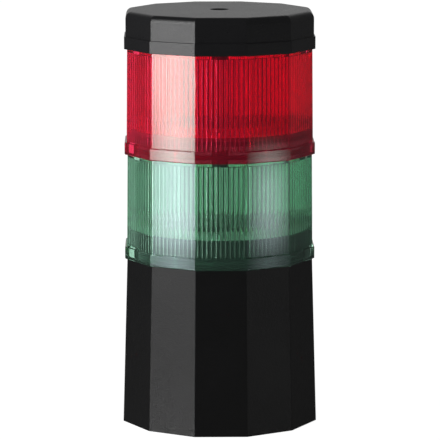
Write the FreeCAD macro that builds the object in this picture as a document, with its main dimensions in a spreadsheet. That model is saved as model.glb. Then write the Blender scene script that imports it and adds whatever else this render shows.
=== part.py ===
import FreeCAD, Part
import math
import os
import re
import Sketcher
from FreeCAD import Placement, Rotation, Vector

# A two-tier stack light: a black twelve-sided base, a green lens, a red lens and a black cap,
# held together by one screw that runs through the cap into a mast in the middle.
# Millimetres, +Z up, origin at the centre of the base's underside, one flat side facing -Y.

SIDES = 12
FLUTES_PER_SIDE = 10
PLATE_SCREWS = 4
MOUNTING_INSERTS = 4
BOARD_SCREWS = 4
MAST_SCREWS = 4
LIGHT_BOARD_SCREWS = 3
LEDS_PER_TIER = 6
TERMINALS = 3

SIZES = [
    # name, millimetres, what it is
    ("flange_half", 42.0, "centre to flat side of the flange round each lens and the cap"),
    ("flange_height", 5.4, "height of a flange"),
    ("flange_step", 0.9, "how far a flange stands out from the foot of its lens"),
    ("flange_round", 0.4, "rounding of a flange's edges"),
    ("lens_draft", 0.4, "how much a lens narrows from foot to shoulder"),
    ("lens_wall", 2.3, "lens wall at the middle of a side"),
    ("lens_roof", 1.8, "thickness of a lens's shoulder"),
    ("flute_depth", 0.55, "how far the ribs inside a lens stand in"),
    ("corner_round", 0.6, "rounding of the upright corners"),
    ("tier_height", 46.7, "height that one lens adds"),
    ("base_height", 73.6, "foot of the base to its shoulder"),
    ("base_step", 1.0, "how far a flange stands out from the base's shoulder"),
    ("base_flare", 2.1, "how much the base widens from shoulder to foot"),
    ("base_wall", 3.2, "wall of the base"),
    ("base_shoulder", 3.0, "thickness of the base's shoulder"),
    ("base_neck_height", 12.4, "how far the base's neck stands up into the green lens"),
    ("lens_neck_height", 10.7, "how far a lens's neck stands up into the next piece"),
    ("neck_gap", 0.55, "gap between a neck and the ribs round it"),
    ("neck_wall", 2.0, "wall of a neck"),
    ("seal_radius", 1.0, "radius of a sealing ring's round section"),
    ("seal_rise", 1.2, "shoulder to the groove for a sealing ring"),
    ("seal_gap", 0.1, "gap round a sealing ring in its groove"),
    ("seal_clearance", 0.2, "gap between a sealing ring and the bore round it"),
    ("cap_step", 0.65, "how far the cap's flange stands out from its side"),
    ("cap_height", 16.4, "height of the cap"),
    ("cap_round", 3.0, "rounding of the cap's top edge"),
    ("cap_roof", 2.5, "thickness of the cap's top"),
    ("cap_boss_radius", 7.0, "boss round the cap screw"),
    ("cap_boss_gap", 0.4, "gap between the cap's boss and the mast"),
    ("deck_thickness", 4.0, "thickness of the deck in the base's neck"),
    ("deck_recess", 1.8, "depth from a neck's rim to the light board's seat"),
    ("post_length", 18.2, "posts that carry the main board under the deck"),
    ("post_radius", 3.5, "radius of those posts"),
    ("post_inset", 9.6, "inside of the base's neck to the middle of a post"),
    ("post_hole_depth", 9.0, "depth of the screw hole in a post"),
    ("plate_thickness", 3.0, "thickness of the base plate"),
    ("plate_gap", 0.3, "gap round the base plate"),
    ("rim_wall", 1.3, "wall of the base beside the plate"),
    ("plate_seal_width", 1.4, "width of the plate's seal"),
    ("plate_seal_thickness", 1.2, "thickness of the plate's seal"),
    ("plate_seal_gap", 0.3, "gap inside the plate's seal"),
    ("lug_inset", 3.9, "inside of the base's foot to a plate screw"),
    ("lug_radius", 4.2, "lug that takes a plate screw"),
    ("lug_height", 20.0, "length of such a lug"),
    ("plate_screw_length", 12.0, "plate screw under its head"),
    ("screw_sink", 0.2, "how deep a plate screw's head lies under the surface"),
    ("insert_ring", 25.0, "centre of the object to a mounting insert"),
    ("insert_radius", 3.0, "outside of a mounting insert"),
    ("insert_bore", 1.65, "bore of a mounting insert, tapped M4"),
    ("insert_length", 8.0, "length of a mounting insert"),
    ("insert_boss", 5.2, "radius of the boss round an insert"),
    ("insert_cover", 2.0, "plastic left over the end of an insert's hole"),
    ("insert_fit", 0.03, "gap round a brass insert"),
    ("grommet_bore", 4.0, "radius of the cable inlet"),
    ("grommet_neck", 8.0, "radius of the grommet in the plate's hole"),
    ("grommet_lip", 10.5, "radius of the grommet's lips"),
    ("grommet_lower_lip", 1.2, "depth of the recess for the lower lip"),
    ("grommet_upper_lip", 2.5, "thickness of the upper lip"),
    ("grommet_gap", 0.2, "gap round and under the grommet's lower lip"),
    ("board_thickness", 1.6, "thickness of each circuit board"),
    ("main_board_margin", 5.3, "middle of a post to the main board's edge"),
    ("light_board_gap", 0.7, "gap round a light board"),
    ("board_hole_gap", 0.4, "gap round what passes through a board"),
    ("screw_radius", 1.5, "small screw's shank"),
    ("screw_head_radius", 2.75, "small screw's head"),
    ("screw_head_height", 2.0, "height of that head"),
    ("screw_fit", 0.05, "gap round a screw's thread"),
    ("screw_clearance", 0.2, "gap round a screw's shank or head where it passes through"),
    ("drive_width", 0.9, "width of the cross in a screw's head"),
    ("drive_depth", 1.1, "depth of that cross"),
    ("board_screw_length", 8.0, "screw under the main board"),
    ("mast_radius", 5.2, "radius of the mast"),
    ("mast_bore", 2.4, "radius of the mast's bore"),
    ("mast_rise", 1.0, "how far the mast stands up past the cap's foot"),
    ("foot_height", 3.0, "thickness of the mast's foot"),
    ("mast_screw_offset", 4.0, "side of the mast to a screw in its foot"),
    ("foot_margin", 3.8, "screw in the mast's foot to the edge of the foot"),
    ("mast_screw_length", 6.2, "screw in the mast's foot"),
    ("disc_thickness", 2.0, "disc on the mast that carries the red light board"),
    ("light_screw_inset", 5.1, "edge of a light board to a screw in it"),
    ("light_screw_length", 3.4, "screw in a light board"),
    ("mast_insert_radius", 3.2, "outside of the brass insert in the mast"),
    ("mast_insert_length", 10.0, "length of that insert"),
    ("cap_screw_radius", 2.0, "cap screw's shank"),
    ("cap_screw_length", 20.0, "cap screw under its head"),
    ("cap_screw_head", 3.3, "radius of the cap screw's head"),
    ("cap_screw_head_height", 2.6, "height of the cap screw's head"),
    ("cap_screw_depth", 6.0, "top of the cap to the screw's head"),
    ("cap_hole_bevel", 0.7, "bevel round the cap's screw hole"),
    ("head_gap", 0.3, "gap round the cap screw's head"),
    ("screw_seal_thickness", 1.0, "seal under the cap screw's head"),
    ("retainer_radius", 4.0, "radius of the washer that keeps the cap screw in the cap"),
    ("retainer_thickness", 0.8, "thickness of that washer"),
    ("retainer_gap", 0.3, "gap round that washer"),
    ("riser_standoff", 3.0, "edge of the mast's foot to the middle of the riser board"),
    ("riser_width", 10.0, "width of the riser board"),
    ("riser_rise", 2.0, "how far the riser stands out of the red light board"),
    ("riser_gap", 0.15, "gap round the riser board in its slots"),
    ("socket_wall", 2.0, "wall of the riser's socket"),
    ("socket_height", 8.0, "height of that socket"),
    ("socket_floor", 2.0, "floor of that socket"),
    ("led_inset", 10.6, "edge of a light board to the middle of a lamp"),
    ("led_width", 5.0, "width of a lamp's body"),
    ("led_height", 1.6, "height of a lamp's body"),
    ("led_dome", 2.1, "radius of a lamp's dome"),
    ("terminal_pitch", 7.62, "width of one terminal"),
    ("terminal_depth", 12.0, "terminal block from front to back"),
    ("terminal_height", 12.0, "height of the terminal block"),
    ("terminal_offset", 14.0, "centre of the object to the terminal block"),
    ("terminal_screw_radius", 2.0, "terminal screw"),
    ("terminal_screw_length", 4.5, "length of a terminal screw"),
    ("terminal_well_depth", 6.0, "depth of the well over a terminal screw"),
    ("terminal_slot_depth", 0.8, "depth of the slot in a terminal screw"),
    ("wire_hole_radius", 1.6, "hole that takes a wire"),
    ("wire_hole_depth", 8.0, "depth of that hole"),
    ("wire_hole_roof", 3.4, "main board to the middle of a wire hole"),
    ("capacitor_radius", 5.0, "radius of the capacitor"),
    ("capacitor_height", 14.0, "height of the capacitor"),
    ("chip_length", 10.0, "length of the driver chip"),
    ("chip_width", 7.0, "width of the driver chip"),
    ("chip_height", 2.5, "height of the driver chip"),
    ("component_offset", 16.0, "centre of the object to the capacitor and the chip"),
]

# Sizes worked out from the ones above, from the outside in.
LENS_LOW = "(flange_half - flange_step)"
LENS_HIGH = "(flange_half - flange_step - lens_draft)"
LENS_BORE = "(flange_half - flange_step - lens_draft - lens_wall)"
NECK = "(flange_half - flange_step - lens_draft - lens_wall - flute_depth - neck_gap)"
NECK_BORE = f"({NECK} - neck_wall)"
SEAL_RING = f"({LENS_BORE} - seal_clearance - seal_radius)"
SEAL_GROOVE = f"({SEAL_RING} - seal_radius - seal_gap)"
BASE_HIGH = "(flange_half - base_step)"
BASE_LOW = "(flange_half - base_step + base_flare)"
LIGHT_BOARD = f"({NECK_BORE} - light_board_gap)"
PLATE_RECESS = f"({BASE_LOW} - rim_wall)"
THREAD = "(screw_radius + screw_fit)"
SCREW_PASSAGE = "(screw_radius + screw_clearance)"
HEAD_PASSAGE = "(screw_head_radius + screw_clearance)"
CAP_THREAD = "(cap_screw_radius + screw_fit)"
CAP_HOLE = "(cap_screw_head + head_gap)"
RISER_SLOT_WIDTH = "(riser_width + 2 * riser_gap)"
RISER_SLOT_DEPTH = "(board_thickness + 2 * riser_gap)"

# Distances from the object's axis to the middle of what stands round it.
LUG_RING = f"({BASE_LOW} - base_wall - lug_inset)"
POST_RING = f"({NECK_BORE} - post_inset)"
MAIN_BOARD = f"({POST_RING} + main_board_margin)"
LIGHT_SCREW_RING = f"({LIGHT_BOARD} - light_screw_inset)"
LED_RING = f"({LIGHT_BOARD} - led_inset)"
MAST_SCREW_RING = "(mast_radius + mast_screw_offset)"
MAST_FOOT = f"({MAST_SCREW_RING} + foot_margin)"
RISER_RING = f"({MAST_FOOT} + riser_standoff)"

# Heights above the object's foot.
LEDGE = "(plate_thickness + plate_seal_thickness)"
DECK = "(base_height + base_neck_height - deck_recess)"
DECK_UNDERSIDE = f"({DECK} - deck_thickness)"
MAIN_BOARD_TOP = f"({DECK_UNDERSIDE} - post_length)"
MAIN_BOARD_UNDERSIDE = f"({MAIN_BOARD_TOP} - board_thickness)"
RED_FOOT = "(base_height + tier_height)"
RED_SEAT = f"({RED_FOOT} + lens_neck_height - deck_recess)"
CAP_FOOT = "(base_height + 2 * tier_height)"
MAST_TOP = f"({CAP_FOOT} + mast_rise)"
CAP_TOP = f"({CAP_FOOT} + cap_height)"
SCREW_SHOULDER = f"({CAP_TOP} - cap_screw_depth - cap_screw_head_height)"
RISER_FOOT = f"({MAIN_BOARD_TOP} + socket_floor)"

doc = FreeCAD.newDocument("stack_light")
sheet = doc.addObject("Spreadsheet::Sheet", "Sizes")
for row, (name, value, note) in enumerate(SIZES, 1):
    sheet.set(f"A{row}", name)
    sheet.set(f"B{row}", str(value))
    sheet.set(f"C{row}", note)
    sheet.setAlias(f"B{row}", name)
doc.recompute()

NAMES = {name for name, value, note in SIZES}
parts = []


# ---- binding to the sheet ----

def formula(text):
    """Turn size names into references to the sheet."""
    return re.sub(r"[a-z_]+", lambda word: f"Sizes.{word[0]}" if word[0] in NAMES else word[0], text)


def amount(text):
    """The present value of a formula of size names."""
    return float(sheet.evalExpression(formula(text)))


def bind(thing, where, text):
    thing.setExpression(where, formula(text))


def keep(thing, label):
    """Name a finished piece and list it for writing."""
    thing.Label = label
    parts.append(thing)
    return thing


# ---- sketches ----

def new_body(name, height="0"):
    body = doc.addObject("PartDesign::Body", name)
    bind(body, "Placement.Base.z", height)
    return body


def new_sketch(body, name, height="0", plane="XY_Plane"):
    sketch = body.newObject("Sketcher::SketchObject", name)
    support = next(item for item in body.Origin.OriginFeatures if item.Role == plane)
    sketch.AttachmentSupport = [(support, "")]
    sketch.MapMode = "FlatFace"
    bind(sketch, "AttachmentOffset.Base.z", height)
    return sketch


def hold(sketch, kind, places, text):
    """Add a dimension to a sketch and bind it to a formula."""
    number = sketch.addConstraint(Sketcher.Constraint(kind, *places, amount(text)))
    bind(sketch, f"Constraints[{number}]", text)


def add_outline(sketch, corners):
    """A closed outline of straight lines, each corner held by two formulas."""
    points = [Vector(amount(x), amount(y), 0) for x, y in corners]
    first = sketch.GeometryCount
    count = len(points)
    for number in range(count):
        sketch.addGeometry(Part.LineSegment(points[number], points[(number + 1) % count]), False)
    for number, (x, y) in enumerate(corners):
        line = first + number
        following = first + (number + 1) % count
        sketch.addConstraint(Sketcher.Constraint("Coincident", line, 2, following, 1))
        hold(sketch, "DistanceX", (-1, 1, line, 1), x)
        hold(sketch, "DistanceY", (-1, 1, line, 1), y)


def add_sides(sketch, half):
    """A regular outline of SIDES sides about the origin, with one side square to -Y."""
    step = 360 / SIDES
    angles = [step * (number + 0.5) for number in range(SIDES)]
    reach = f"{half} / cos({step / 2} deg)"
    add_outline(sketch, [(f"{reach} * sin({a} deg)", f"-{reach} * cos({a} deg)") for a in angles])


def add_rectangle(sketch, width, depth, x="0", y="0"):
    left, right = f"{x} - ({width}) / 2", f"{x} + ({width}) / 2"
    near, far = f"{y} - ({depth}) / 2", f"{y} + ({depth}) / 2"
    add_outline(sketch, [(left, near), (right, near), (right, far), (left, far)])


def add_circle(sketch, radius, x="0", y="0"):
    centre = Vector(amount(x), amount(y), 0)
    number = sketch.addGeometry(Part.Circle(centre, Vector(0, 0, 1), amount(radius)), False)
    hold(sketch, "DistanceX", (-1, 1, number, 3), x)
    hold(sketch, "DistanceY", (-1, 1, number, 3), y)
    hold(sketch, "Radius", (number,), radius)


# ---- features ----

def extrude(body, kind, sketch, length, name, downward=False):
    feature = body.newObject(f"PartDesign::{kind}", name)
    feature.Profile = sketch
    bind(feature, "Length", length)
    feature.Reversed = downward
    sketch.Visibility = False
    return feature


def pad(body, sketch, length, name, downward=False):
    return extrude(body, "Pad", sketch, length, name, downward)


def cut_up(body, sketch, length, name):
    """A pocket cut upwards from its sketch."""
    return extrude(body, "Pocket", sketch, length, name, downward=True)


def cut_down(body, sketch, length, name):
    """A pocket cut downwards from its sketch."""
    return extrude(body, "Pocket", sketch, length, name)


def loft(body, kind, low, high, name):
    feature = body.newObject(f"PartDesign::{kind}", name)
    feature.Profile = low
    feature.Sections = [high]
    feature.Ruled = True
    return feature


def ring_of(body, originals, count, name):
    """Repeat features round the body's Z axis."""
    pattern = body.newObject("PartDesign::PolarPattern", name)
    pattern.Originals = originals
    axis = next(item for item in body.Origin.OriginFeatures if item.Role == "Z_Axis")
    pattern.Axis = (axis, [""])
    pattern.Angle = 360
    pattern.Occurrences = count
    body.Tip = pattern
    return pattern


def round_edges(body, base, wanted, radius, name):
    """Round each edge of a feature whose middle and direction pass a test."""
    doc.recompute()
    names = []
    for number, edge in enumerate(base.Shape.Edges, 1):
        middle = edge.valueAt((edge.FirstParameter + edge.LastParameter) / 2)
        if wanted(edge, middle):
            names.append(f"Edge{number}")
    feature = body.newObject("PartDesign::Fillet", name)
    feature.Base = (base, names)
    bind(feature, "Radius", radius)
    return feature


def is_upright(edge, middle):
    rise = abs(edge.Vertexes[0].Point.z - edge.Vertexes[-1].Point.z)
    return rise > 0.9 * edge.Length


def lies_at(height):
    level = amount(height)
    return lambda edge, middle: edge.BoundBox.ZLength < 1e-4 and abs(middle.z - level) < 1e-4


def ring_x(ring, angle):
    return f"{ring} * cos({angle} deg)"


def ring_y(ring, angle):
    return f"{ring} * sin({angle} deg)"


# ---- housing pieces ----

def cut_seal_groove(body, shoulder):
    """A square groove round the outside of a neck, a little above its shoulder."""
    groove = new_sketch(body, "SealGroove", f"{shoulder} + seal_rise")
    add_circle(groove, LENS_BORE)
    add_circle(groove, SEAL_GROOVE)
    cut_up(body, groove, "2 * (seal_radius + seal_gap)", "SealGrooveCut")


def make_base_housing():
    body = new_body("BaseHousing")
    foot = new_sketch(body, "Foot")
    add_sides(foot, BASE_LOW)
    shoulder = new_sketch(body, "Shoulder", "base_height")
    add_sides(shoulder, BASE_HIGH)
    outside = loft(body, "AdditiveLoft", foot, shoulder, "Outside")
    round_edges(body, outside, is_upright, "corner_round", "Corners")

    neck = new_sketch(body, "Neck", "base_height")
    add_circle(neck, NECK)
    pad(body, neck, "base_neck_height", "NeckPad")
    cut_seal_groove(body, "base_height")

    ceiling = "(base_height - base_shoulder)"
    inner_low = new_sketch(body, "CavityLow")
    add_sides(inner_low, f"({BASE_LOW} - base_wall)")
    inner_high = new_sketch(body, "CavityHigh", ceiling)
    add_sides(inner_high, f"({BASE_HIGH} + base_flare * base_shoulder / base_height - base_wall)")
    loft(body, "SubtractiveLoft", inner_low, inner_high, "Cavity")
    hollow = new_sketch(body, "NeckHollow", ceiling)
    add_circle(hollow, NECK_BORE)
    cut_up(body, hollow, f"{DECK_UNDERSIDE} - {ceiling}", "NeckHollowCut")
    recess = new_sketch(body, "BoardRecess", "base_height + base_neck_height")
    add_circle(recess, NECK_BORE)
    cut_down(body, recess, "deck_recess", "BoardRecessCut")
    plate_recess = new_sketch(body, "PlateRecess")
    add_sides(plate_recess, PLATE_RECESS)
    cut_up(body, plate_recess, LEDGE, "PlateRecessCut")

    lug = new_sketch(body, "Lug", LEDGE)
    add_circle(lug, "lug_radius", LUG_RING)
    lug_pad = pad(body, lug, "lug_height", "LugPad")
    lug_hole = new_sketch(body, "LugHole", LEDGE)
    add_circle(lug_hole, THREAD, LUG_RING)
    lug_cut = cut_up(body, lug_hole, "plate_screw_length + screw_head_height", "LugHoleCut")
    ring_of(body, [lug_pad, lug_cut], PLATE_SCREWS, "Lugs")

    post_angle = 180 / BOARD_SCREWS
    post = new_sketch(body, "Post", MAIN_BOARD_TOP)
    add_circle(post, "post_radius", ring_x(POST_RING, post_angle), ring_y(POST_RING, post_angle))
    post_pad = pad(body, post, "post_length", "PostPad")
    post_hole = new_sketch(body, "PostHole", MAIN_BOARD_TOP)
    add_circle(post_hole, THREAD, ring_x(POST_RING, post_angle), ring_y(POST_RING, post_angle))
    post_cut = cut_up(body, post_hole, "post_hole_depth", "PostHoleCut")
    ring_of(body, [post_pad, post_cut], BOARD_SCREWS, "Posts")

    mast_angle = 180 / MAST_SCREWS
    mast_hole = new_sketch(body, "MastScrewHole", DECK)
    add_circle(mast_hole, THREAD, ring_x(MAST_SCREW_RING, mast_angle),
               ring_y(MAST_SCREW_RING, mast_angle))
    mast_cut = cut_down(body, mast_hole, "deck_thickness", "MastScrewHoleCut")
    ring_of(body, [mast_cut], MAST_SCREWS, "MastScrewHoles")
    light_hole = new_sketch(body, "LightScrewHole", DECK)
    add_circle(light_hole, THREAD, "0", f"-{LIGHT_SCREW_RING}")
    light_cut = cut_down(body, light_hole, "light_screw_length", "LightScrewHoleCut")
    ring_of(body, [light_cut], LIGHT_BOARD_SCREWS, "LightScrewHoles")
    slot = new_sketch(body, "RiserSlot", DECK)
    add_rectangle(slot, RISER_SLOT_WIDTH, RISER_SLOT_DEPTH, "0", RISER_RING)
    cut_down(body, slot, "deck_thickness", "RiserSlotCut")
    keep(body, "base_housing")


def make_flute_core():
    """The hollow of a lens: round, with a ring of half-round ribs standing into it."""
    bore = amount(LENS_BORE)
    crest = bore - amount("flute_depth")
    count = SIDES * FLUTES_PER_SIDE
    step = 2 * math.pi / count
    arcs = []
    for number in range(count):
        start, middle, end = (step * (number + share) for share in (0, 0.5, 1))
        arcs.append(Part.Arc(Vector(bore * math.cos(start), bore * math.sin(start), 0),
                             Vector(crest * math.cos(middle), crest * math.sin(middle), 0),
                             Vector(bore * math.cos(end), bore * math.sin(end), 0)).toShape())
    face = Part.Face(Part.Wire(arcs))
    length = amount("tier_height - lens_roof - flange_height")
    core = doc.addObject("Part::Feature", "FluteCore")
    core.Shape = face.extrude(Vector(0, 0, length))
    core.Placement = Placement(Vector(0, 0, amount("flange_height")), Rotation())
    return core


def make_lens(label, foot):
    body = new_body(f"{label.title()}Body")
    flange = new_sketch(body, "Flange")
    add_sides(flange, "flange_half")
    flange_pad = pad(body, flange, "flange_height", "FlangePad")
    round_edges(body, flange_pad, lambda edge, middle: True, "flange_round", "FlangeEdges")
    low = new_sketch(body, "SideLow", "flange_height / 2")
    add_sides(low, LENS_LOW)
    high = new_sketch(body, "SideHigh", "tier_height")
    add_sides(high, LENS_HIGH)
    side = loft(body, "AdditiveLoft", low, high, "Side")
    foot_level = amount("flange_height")
    round_edges(body, side, lambda edge, middle: is_upright(edge, middle) and middle.z > foot_level,
                "corner_round", "Corners")
    neck = new_sketch(body, "Neck", "tier_height")
    add_circle(neck, NECK)
    pad(body, neck, "lens_neck_height", "NeckPad")
    cut_seal_groove(body, "tier_height")
    bore = new_sketch(body, "FlangeBore")
    add_circle(bore, LENS_BORE)
    cut_up(body, bore, "flange_height", "FlangeBoreCut")
    throat = new_sketch(body, "Throat", "tier_height + lens_neck_height")
    add_circle(throat, NECK_BORE)
    cut_down(body, throat, "lens_neck_height + lens_roof + flange_height", "ThroatCut")
    lens = doc.addObject("Part::Cut", f"{label.title()}Cut")
    lens.Base = body
    lens.Tool = make_flute_core()
    bind(lens, "Placement.Base.z", foot)
    keep(lens, label)


def make_cap():
    body = new_body("Cap", CAP_FOOT)
    outline = new_sketch(body, "Outline")
    add_sides(outline, "(flange_half - cap_step)")
    block = pad(body, outline, "cap_height", "Block")
    corners = round_edges(body, block, is_upright, "corner_round", "Corners")
    round_edges(body, corners, lies_at("cap_height"), "cap_round", "TopEdge")
    flange = new_sketch(body, "Flange")
    add_sides(flange, "flange_half")
    pad(body, flange, "flange_height", "FlangePad")
    hollow = new_sketch(body, "Hollow")
    add_circle(hollow, LENS_BORE)
    cut_up(body, hollow, "cap_height - cap_roof", "HollowCut")
    boss_foot = "(mast_rise + cap_boss_gap)"
    boss = new_sketch(body, "Boss", boss_foot)
    add_circle(boss, "cap_boss_radius")
    pad(body, boss, f"cap_height - cap_roof - {boss_foot}", "BossPad")
    head_hole = new_sketch(body, "HeadHole", "cap_height")
    add_circle(head_hole, CAP_HOLE)
    head_depth = "cap_screw_depth + cap_screw_head_height + screw_seal_thickness"
    head_cut = cut_down(body, head_hole, head_depth, "HeadHoleCut")
    rim = amount(CAP_HOLE)
    doc.recompute()
    top = amount("cap_height")
    mouth = [f"Edge{number}" for number, edge in enumerate(head_cut.Shape.Edges, 1)
             if lies_at("cap_height")(edge, Vector(0, 0, edge.BoundBox.ZMax))
             and abs(edge.BoundBox.XMax - rim) < 1e-3 and edge.BoundBox.ZMax > top - 1e-3]
    bevel = body.newObject("PartDesign::Chamfer", "Bevel")
    bevel.Base = (head_cut, mouth)
    bind(bevel, "Size", "cap_hole_bevel")
    shank_hole = new_sketch(body, "ShankHole")
    add_circle(shank_hole, "(cap_screw_radius + screw_clearance)")
    cut_up(body, shank_hole, "cap_height - cap_screw_depth", "ShankHoleCut")
    pocket = new_sketch(body, "RetainerPocket")
    add_circle(pocket, "(retainer_radius + retainer_gap)")
    cut_up(body, pocket, f"{boss_foot} + retainer_thickness + retainer_gap", "RetainerPocketCut")
    keep(body, "cap")


def make_base_plate():
    body = new_body("BasePlate")
    outline = new_sketch(body, "Outline")
    add_sides(outline, f"({PLATE_RECESS} - plate_gap)")
    pad(body, outline, "plate_thickness", "Plate")
    angle = 180 / MOUNTING_INSERTS
    boss = new_sketch(body, "InsertBoss", "plate_thickness / 2")
    add_circle(boss, "insert_boss", ring_x("insert_ring", angle), ring_y("insert_ring", angle))
    rise = "insert_length + screw_clearance + insert_cover - plate_thickness / 2"
    boss_pad = pad(body, boss, rise, "InsertBossPad")
    hole = new_sketch(body, "InsertHole")
    add_circle(hole, "(insert_radius + insert_fit)", ring_x("insert_ring", angle),
               ring_y("insert_ring", angle))
    hole_cut = cut_up(body, hole, "insert_length + screw_clearance", "InsertHoleCut")
    ring_of(body, [boss_pad, hole_cut], MOUNTING_INSERTS, "InsertBosses")
    passage = new_sketch(body, "ScrewPassage")
    add_circle(passage, SCREW_PASSAGE, LUG_RING)
    passage_cut = cut_up(body, passage, "plate_thickness", "ScrewPassageCut")
    head = new_sketch(body, "HeadRecess")
    add_circle(head, HEAD_PASSAGE, LUG_RING)
    head_cut = cut_up(body, head, "screw_sink + screw_head_height", "HeadRecessCut")
    ring_of(body, [passage_cut, head_cut], PLATE_SCREWS, "ScrewPassages")
    inlet = new_sketch(body, "Inlet")
    add_circle(inlet, "grommet_neck")
    cut_up(body, inlet, "plate_thickness", "InletCut")
    lip = new_sketch(body, "LipRecess")
    add_circle(lip, "(grommet_lip + grommet_gap)")
    cut_up(body, lip, "grommet_lower_lip", "LipRecessCut")
    keep(body, "base_plate")


def make_ring(label, height, thickness, outer, inner):
    """A flat round ring, such as a seal or a washer."""
    body = new_body(label.title().replace("_", ""), height)
    outline = new_sketch(body, "Outline")
    add_circle(outline, outer)
    add_circle(outline, inner)
    pad(body, outline, thickness, "Ring")
    keep(body, label)


def make_plate_seal():
    body = new_body("PlateSeal", "plate_thickness")
    outline = new_sketch(body, "Outline")
    inside = f"({BASE_LOW} - base_wall + plate_seal_gap)"
    add_sides(outline, f"({inside} + plate_seal_width)")
    add_sides(outline, inside)
    pad(body, outline, "plate_seal_thickness", "Ring")
    keep(body, "plate_seal")


def make_neck_seal(label, shoulder):
    """A rubber ring of round section in the groove of a neck."""
    body = new_body(label.title().replace("_", ""), f"{shoulder} + seal_rise + seal_gap + seal_radius")
    ring = body.newObject("PartDesign::AdditiveTorus", "Ring")
    bind(ring, "Radius1", SEAL_RING)
    bind(ring, "Radius2", "seal_radius")
    keep(body, label)


def make_grommet():
    """A rubber grommet: a bore, a neck in the plate's hole and a lip on each side."""
    body = new_body("CableGrommet")
    profile = new_sketch(body, "Profile", plane="XZ_Plane")
    top = "(plate_thickness + grommet_upper_lip)"
    add_outline(profile, [
        ("grommet_bore", "grommet_gap"), ("grommet_lip", "grommet_gap"),
        ("grommet_lip", "grommet_lower_lip"), ("grommet_neck", "grommet_lower_lip"),
        ("grommet_neck", "plate_thickness"), ("grommet_lip", "plate_thickness"),
        ("(grommet_bore + grommet_lip) / 2", top), ("grommet_bore", top)])
    turned = body.newObject("PartDesign::Revolution", "Turned")
    turned.Profile = profile
    turned.ReferenceAxis = (profile, ["V_Axis"])
    turned.Angle = 360
    keep(body, "cable_grommet")


# ---- screws and inserts ----

def make_screws(label, count, ring, first_angle, shoulder, length, from_below=False,
                shank="screw_radius", head="screw_head_radius", head_height="screw_head_height"):
    """Equal cross-head screws on a ring, with the underside of their heads at one height."""
    body = new_body(label.title().replace("_", ""), shoulder)
    if from_below:
        bind(body, "Placement.Rotation.Axis.x", "1")
        bind(body, "Placement.Rotation.Axis.z", "0")
        bind(body, "Placement.Rotation.Angle", "180 deg")
    x, y = ring_x(ring, first_angle), ring_y(ring, first_angle)
    shank_sketch = new_sketch(body, "Shank")
    add_circle(shank_sketch, shank, x, y)
    shank_pad = pad(body, shank_sketch, length, "ShankPad", downward=True)
    head_sketch = new_sketch(body, "Head")
    add_circle(head_sketch, head, x, y)
    head_pad = pad(body, head_sketch, head_height, "HeadPad")
    drive = new_sketch(body, "Drive", head_height)
    wide, slim = f"({head} * 0.62)", "(drive_width / 2)"
    cross = [(slim, wide), (slim, slim), (wide, slim), (wide, f"-{slim}"), (slim, f"-{slim}"),
             (slim, f"-{wide}"), (f"-{slim}", f"-{wide}"), (f"-{slim}", f"-{slim}"),
             (f"-{wide}", f"-{slim}"), (f"-{wide}", slim), (f"-{slim}", slim), (f"-{slim}", wide)]
    add_outline(drive, [(f"{x} + {dx}", f"{y} + {dy}") for dx, dy in cross])
    drive_cut = cut_down(body, drive, "drive_depth", "DriveCut")
    if count > 1:
        ring_of(body, [shank_pad, head_pad, drive_cut], count, "Screws")
    keep(body, label)


def make_inserts(label, count, ring, first_angle, height, length, outer, inner):
    """Equal brass inserts on a ring, each a plain bush."""
    body = new_body(label.title().replace("_", ""), height)
    outline = new_sketch(body, "Outline")
    x, y = ring_x(ring, first_angle), ring_y(ring, first_angle)
    add_circle(outline, outer, x, y)
    add_circle(outline, inner, x, y)
    bush = pad(body, outline, length, "Bush")
    if count > 1:
        ring_of(body, [bush], count, "Bushes")
    keep(body, label)


# ---- mast, boards and lamps ----

def cut_screw_ring(body, ring, first_angle, count, radius, height, depth, name):
    hole = new_sketch(body, name, height)
    add_circle(hole, radius, ring_x(ring, first_angle), ring_y(ring, first_angle))
    cut = cut_down(body, hole, depth, f"{name}Cut")
    ring_of(body, [cut], count, f"{name}Ring")


def make_mast():
    """A tube with a screwed foot, and a disc that carries the red light board."""
    body = new_body("Mast", DECK)
    foot = new_sketch(body, "Foot")
    add_circle(foot, MAST_FOOT)
    pad(body, foot, "foot_height", "FootPad")
    tube = new_sketch(body, "Tube")
    add_circle(tube, "mast_radius")
    pad(body, tube, f"{MAST_TOP} - {DECK}", "TubePad")
    seat = f"({RED_SEAT} - {DECK})"
    disc = new_sketch(body, "Disc", f"{seat} - disc_thickness")
    add_circle(disc, LIGHT_BOARD)
    pad(body, disc, "disc_thickness", "DiscPad")
    bore = new_sketch(body, "Bore")
    add_circle(bore, "mast_bore")
    cut_up(body, bore, f"{MAST_TOP} - {DECK}", "BoreCut")
    socket = new_sketch(body, "InsertHole", f"{MAST_TOP} - {DECK}")
    add_circle(socket, "(mast_insert_radius + insert_fit)")
    cut_down(body, socket, "mast_insert_length", "InsertHoleCut")
    cut_screw_ring(body, MAST_SCREW_RING, 180 / MAST_SCREWS, MAST_SCREWS, SCREW_PASSAGE,
                   "foot_height", "foot_height", "FootScrewHole")
    cut_screw_ring(body, LIGHT_SCREW_RING, -90, LIGHT_BOARD_SCREWS, THREAD, seat,
                   "disc_thickness", "BoardScrewHole")
    slot = new_sketch(body, "RiserSlot", seat)
    add_rectangle(slot, RISER_SLOT_WIDTH, RISER_SLOT_DEPTH, "0", RISER_RING)
    cut_down(body, slot, "disc_thickness", "RiserSlotCut")
    keep(body, "mast")


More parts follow.
